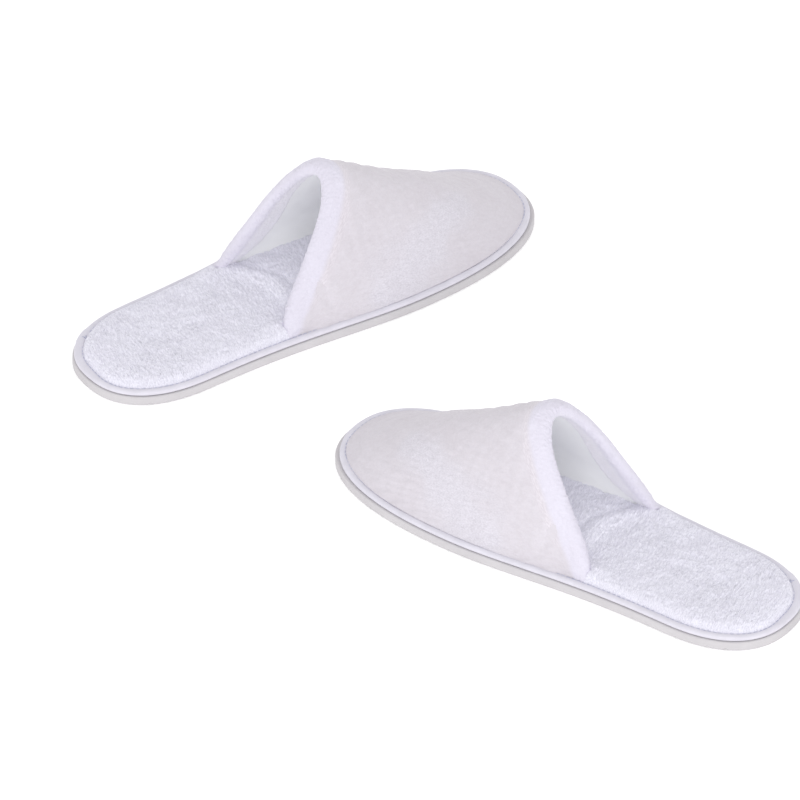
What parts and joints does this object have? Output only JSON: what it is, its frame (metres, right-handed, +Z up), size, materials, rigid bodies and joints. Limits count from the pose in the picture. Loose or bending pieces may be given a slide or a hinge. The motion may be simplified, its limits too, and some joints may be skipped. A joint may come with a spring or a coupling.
{
  "type": "spa slippers",
  "caption": "Closed-toe, open-heel spa slippers, left and right, with a padded plush upper, terry footbed, taped edge and flat foam outsole that bends behind the upper.",
  "frame": {"origin": "centre of the pair's bounding box, on the floor under the outsoles", "axes": "+Z up, +Y away from the viewer of the source picture, +X to that viewer's right; the left slipper points 35.6 degrees from +X towards +Y and the right one is its mirror image"},
  "size_m": [0.3876, 0.4074, 0.0817],
  "materials": {
    "plush": "short brushed pile",
    "terry": "looped pile",
    "lining_cloth": "smooth knit",
    "padding_foam": "open-cell foam",
    "insole_board": "matt",
    "binding_tape": "satin weave",
    "sewing_thread": "twisted",
    "eva_foam": "matt closed-cell foam"
  },
  "bodies": {
    "left_forefoot": {"left_outsole_front": "eva_foam", "left_insole_board_front": "insole_board", "left_insole_foam_front": "padding_foam", "left_terry_cover_front": "terry", "left_binding_front": "binding_tape", "left_stitching_front": "sewing_thread", "left_upper_plush": "plush", "left_upper_padding": "padding_foam", "left_upper_lining": "lining_cloth"},
    "left_heel_part": {"left_outsole_heel": "eva_foam", "left_insole_board_heel": "insole_board", "left_insole_foam_heel": "padding_foam", "left_terry_cover_heel": "terry", "left_binding_heel": "binding_tape", "left_stitching_heel": "sewing_thread"},
    "right_forefoot": {"right_outsole_front": "eva_foam", "right_insole_board_front": "insole_board", "right_insole_foam_front": "padding_foam", "right_terry_cover_front": "terry", "right_binding_front": "binding_tape", "right_stitching_front": "sewing_thread", "right_upper_plush": "plush", "right_upper_padding": "padding_foam", "right_upper_lining": "lining_cloth"},
    "right_heel_part": {"right_outsole_heel": "eva_foam", "right_insole_board_heel": "insole_board", "right_insole_foam_heel": "padding_foam", "right_terry_cover_heel": "terry", "right_binding_heel": "binding_tape", "right_stitching_heel": "sewing_thread"}
  },
  "joints": [
    {"name": "left_sole_bend", "type": "hinge", "parent": "left_forefoot", "child": "left_heel_part", "pos_m": [-0.10469, 0.07981, 0.012], "axis": [-0.5821, 0.8131, 0], "range_deg": [0, 35], "stiffness_Nm_per_rad": 0.06},
    {"name": "right_slipper_lift", "type": "slide", "parent": "left_forefoot", "child": "right_forefoot", "axis": [0, 0, 1], "range_m": [0, 0.15]},
    {"name": "right_sole_bend", "type": "hinge", "parent": "right_forefoot", "child": "right_heel_part", "pos_m": [0.10469, -0.12949, 0.012], "axis": [-0.5821, -0.8131, 0], "range_deg": [0, 35], "stiffness_Nm_per_rad": 0.06}
  ]
}
